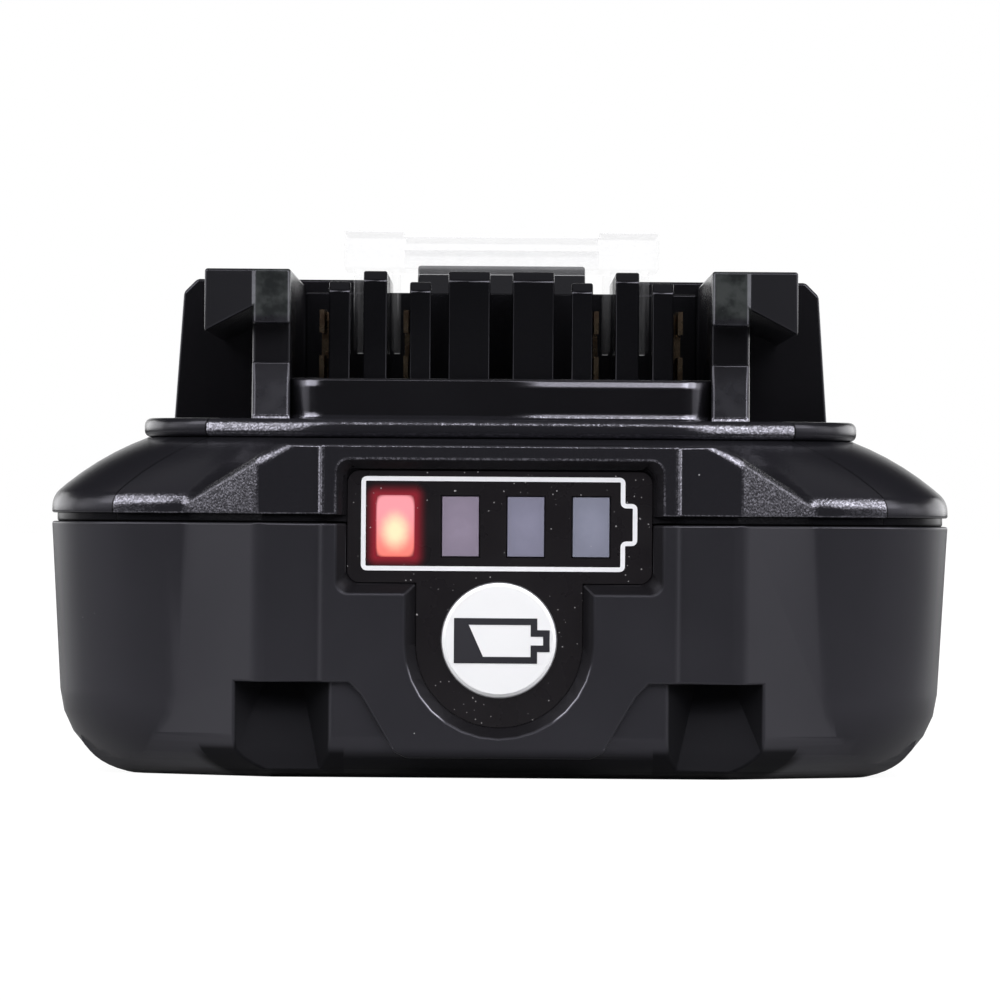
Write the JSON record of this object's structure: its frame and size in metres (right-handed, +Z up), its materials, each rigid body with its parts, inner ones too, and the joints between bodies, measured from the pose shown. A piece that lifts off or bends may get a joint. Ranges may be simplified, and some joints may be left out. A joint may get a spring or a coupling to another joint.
{
  "type": "power tool battery pack",
  "caption": "Slide-on rechargeable battery pack with undercut rails, ribbed terminal deck, lift-off storage cap, sprung release latch and a lit charge gauge with a check button.",
  "frame": {"origin": "centre of the bounding box seen from above, on the plane of the flat base", "axes": "+Z up, with the rails on top; -Y is the end with the charge gauge, +Y the end with the release button; +X is to the right when looking at the gauge"},
  "size_m": [0.075, 0.113, 0.0457],
  "materials": {
    "lower_shell": "satin black moulded plastic",
    "upper_shell": "black moulded plastic with a spark-eroded texture",
    "deck_gloss": "glossy black moulded plastic",
    "fascia": "black panel with a white printed outline",
    "window_lit": "frosted window, lit red from behind",
    "window_dark": "frosted smoky window",
    "check_white": "white moulded plastic with a printed symbol",
    "plunger_plastic": "natural moulded plastic",
    "switch_plastic": "black moulded plastic",
    "board_green": "green solder mask on glass laminate",
    "led_body": "cream package with a clear lens",
    "ribbon": "flat ribbon lead",
    "latch_plastic": "black moulded plastic",
    "spring_steel": "bright spring wire",
    "cap_frost": "frosted translucent white plastic",
    "contact_brass": "bright stamped contact metal",
    "cell_sleeve": "shrunk plastic sleeve over a steel can",
    "holder_plastic": "moulded plastic",
    "nickel": "nickel strip with spot welds",
    "barley_paper": "insulating paper",
    "foam": "grey foam",
    "chip_black": "moulded packages",
    "sensor_epoxy": "brown epoxy bead",
    "screw_steel": "zinc-plated steel"
  },
  "bodies": {
    "pack": {"lower_case": "lower_shell", "upper_case": "upper_shell", "terminal_block": "deck_gloss", "gauge_fascia": "fascia", "light_pipe_1": "window_lit", "light_pipe_2": "window_dark", "light_pipe_3": "window_dark", "light_pipe_4": "window_dark", "check_switch": "switch_plastic", "gauge_board": "board_green", "leds": "led_body", "gauge_ribbon": "ribbon", "latch_springs": "spring_steel", "positive_terminal": "contact_brass", "negative_terminal": "contact_brass", "signal_contacts": "contact_brass", "cell_1": "cell_sleeve", "cell_2": "cell_sleeve", "cell_3": "cell_sleeve", "cell_4": "cell_sleeve", "cell_5": "cell_sleeve", "cell_holder_left": "holder_plastic", "cell_holder_right": "holder_plastic", "positive_tab": "nickel", "strap_12": "nickel", "strap_23": "nickel", "strap_34": "nickel", "strap_45": "nickel", "negative_tab": "nickel", "insulator_sheet": "barley_paper", "cell_pad": "foam", "main_board": "board_green", "power_transistors": "chip_black", "board_chips": "chip_black", "thermistor": "sensor_epoxy", "case_screws": "screw_steel"},
    "release_latch": {"release_button": "latch_plastic"},
    "check_key": {"check_button": "check_white", "switch_plunger": "plunger_plastic"},
    "storage_cap": {"terminal_cover": "cap_frost"}
  },
  "joints": [
    {"name": "release_press", "type": "slide", "parent": "pack", "child": "release_latch", "axis": [0, 0, -1], "range_m": [0, 0.005], "stiffness_N_per_m": 400, "springref_m": -0.008, "deforming": ["latch_springs"]},
    {"name": "check_press", "type": "slide", "parent": "pack", "child": "check_key", "axis": [0, 1, 0], "range_m": [0, 0.0005], "stiffness_N_per_m": 2000, "springref_m": -0.0004},
    {"name": "cap_lift", "type": "slide", "parent": "pack", "child": "storage_cap", "axis": [0, 0, 1], "range_m": [0, 0.02]}
  ]
}
